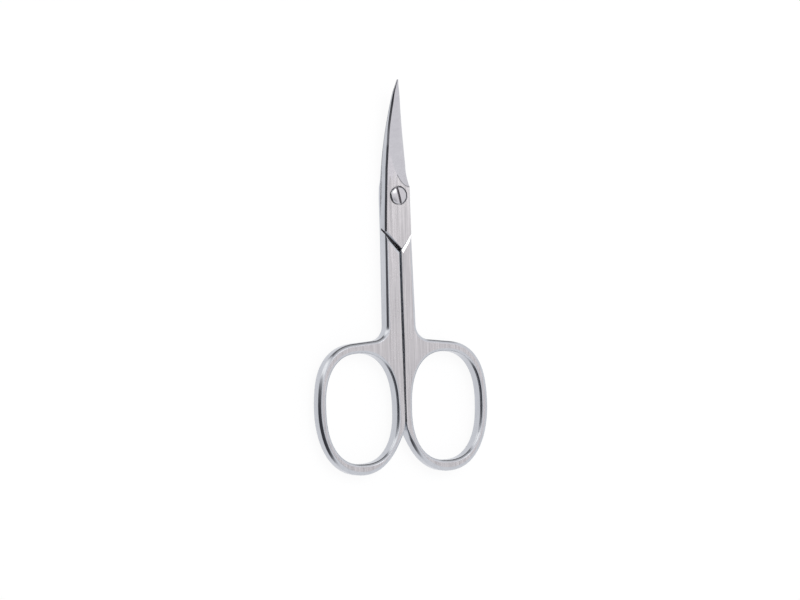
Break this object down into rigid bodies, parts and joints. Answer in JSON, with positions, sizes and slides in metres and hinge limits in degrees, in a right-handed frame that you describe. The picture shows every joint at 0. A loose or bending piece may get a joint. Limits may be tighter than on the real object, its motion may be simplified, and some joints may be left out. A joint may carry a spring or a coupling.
{
  "type": "curved nail scissors",
  "caption": "Small hand scissors with curved, hollow-ground blades, half-lapped on a slotted pivot screw, and oval finger rings.",
  "frame": {"origin": "on the pivot axis, at the pivot screw's flat tail face, level with the backs of the handles", "axes": "+X towards the front half's finger ring, +Y towards the blade tips, +Z out of the front face, the way the blades curve"},
  "size_m": [0.0426, 0.0889, 0.0048],
  "materials": {
    "satin_steel": "satin, brushed along the length",
    "polished_steel": "polished"
  },
  "bodies": {
    "rear": {"rear_half": "satin_steel", "pivot_screw": "polished_steel"},
    "front": {"front_half": "satin_steel"}
  },
  "joints": [
    {"name": "blades_open", "type": "hinge", "parent": "rear", "child": "front", "pos_m": [0, 0, 0.0018], "axis": [0, 0, 1], "range_deg": [0, 100]}
  ]
}
